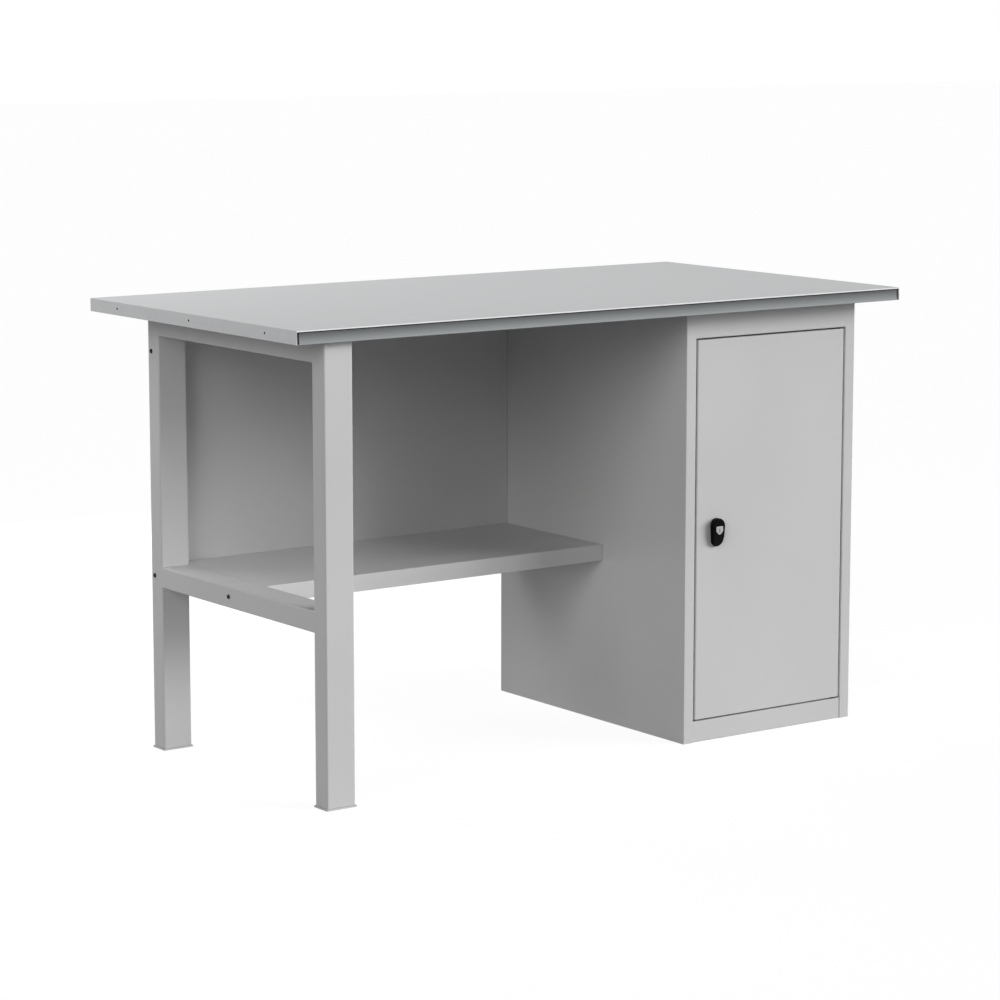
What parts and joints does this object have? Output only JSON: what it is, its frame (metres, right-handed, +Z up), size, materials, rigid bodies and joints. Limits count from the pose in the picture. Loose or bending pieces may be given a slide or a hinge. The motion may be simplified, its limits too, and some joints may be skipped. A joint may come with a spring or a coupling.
{
  "type": "workbench with cabinet door",
  "caption": "Steel workbench: galvanised worktop on a tube leg frame and a lockable cabinet, with an open bay, a back panel and a low shelf.",
  "frame": {"origin": "on the floor under the middle of the worktop", "axes": "+X along the worktop towards the cabinet, +Y towards the back panel, +Z up"},
  "size_m": [1.4, 0.735, 0.865],
  "materials": {
    "grey_paint": "satin powder coat",
    "galvanised_steel": "dull zinc",
    "chipboard": "raw",
    "black_steel": "black oxide",
    "zinc_plate": "bright zinc",
    "black_casting": "satin black",
    "nickel_plate": "polished",
    "nylon": "natural",
    "rubber": "matt"
  },
  "bodies": {
    "bench": {"back_panel": "grey_paint", "bay_shelf": "grey_paint", "bay_shelf_stiffener": "grey_paint", "cabinet_back": "grey_paint", "cabinet_floor": "grey_paint", "cabinet_shelf_lower": "grey_paint", "cabinet_shelf_upper": "grey_paint", "cabinet_side_left": "grey_paint", "cabinet_side_right": "grey_paint", "cabinet_top": "grey_paint", "door_buffer_lower": "rubber", "door_buffer_upper": "rubber", "foot_plate_front": "grey_paint", "foot_plate_rear": "grey_paint", "hinge_pin_lower": "zinc_plate", "hinge_pin_upper": "zinc_plate", "leg_front": "grey_paint", "leg_rear": "grey_paint", "lower_side_beam": "grey_paint", "panel_bolt_lower_cabinet": "black_steel", "panel_bolt_lower_leg": "black_steel", "panel_bolt_lower_nut": "zinc_plate", "panel_bolt_upper_cabinet": "black_steel", "panel_bolt_upper_leg": "black_steel", "panel_bolt_upper_nut": "zinc_plate", "plinth_rail": "grey_paint", "shelf_angle_lower_left": "grey_paint", "shelf_angle_lower_right": "grey_paint", "shelf_angle_upper_left": "grey_paint", "shelf_angle_upper_right": "grey_paint", "shelf_bolt_cabinet": "black_steel", "shelf_bolt_leg": "black_steel", "shelf_bolt_nut": "zinc_plate", "top_rail": "grey_paint", "upper_side_beam": "grey_paint", "worktop_board": "chipboard", "worktop_screw_cabinet_front": "zinc_plate", "worktop_screw_cabinet_rear": "zinc_plate", "worktop_screw_frame_front": "zinc_plate", "worktop_screw_frame_rear": "zinc_plate", "worktop_sheet": "galvanised_steel"},
    "door": {"door_panel": "grey_paint", "door_stiffener": "grey_paint", "hinge_plate_upper": "zinc_plate", "hinge_plate_lower": "zinc_plate", "hinge_bush_upper": "nylon", "hinge_bush_lower": "nylon", "rod_guide_upper": "nylon", "rod_guide_lower": "nylon", "lock_bezel": "black_casting", "lock_nut": "zinc_plate"},
    "handle": {"handle_knob": "black_casting", "key_shield": "nickel_plate", "lock_cam": "zinc_plate", "cam_screw": "zinc_plate"},
    "key": {"key_plug": "nickel_plate"},
    "upper_rod": {"upper_rod": "zinc_plate"},
    "lower_rod": {"lower_rod": "zinc_plate"}
  },
  "joints": [
    {"name": "door_swing", "type": "hinge", "parent": "bench", "child": "door", "pos_m": [0.595, -0.3045, 0.4145], "axis": [0, 0, 1], "range_deg": [0, 105]},
    {"name": "handle_turn", "type": "hinge", "parent": "door", "child": "handle", "pos_m": [0.282, -0.3045, 0.4145], "axis": [0, -1, 0], "range_deg": [0, 90]},
    {"name": "key_turn", "type": "hinge", "parent": "handle", "child": "key", "pos_m": [0.282, -0.3045, 0.4145], "axis": [0, 1, 0], "range_deg": [0, 90]},
    {"name": "upper_rod_slide", "type": "slide", "parent": "door", "child": "upper_rod", "axis": [0, 0, 1], "range_m": [0, 0.01415]},
    {"name": "lower_rod_slide", "type": "slide", "parent": "door", "child": "lower_rod", "axis": [0, 0, -1], "range_m": [0, 0.01415]}
  ],
  "couplings": [
    {"joint": "upper_rod_slide", "follows": "handle_turn", "m_per_rad": 0.009},
    {"joint": "lower_rod_slide", "follows": "handle_turn", "m_per_rad": 0.009}
  ]
}
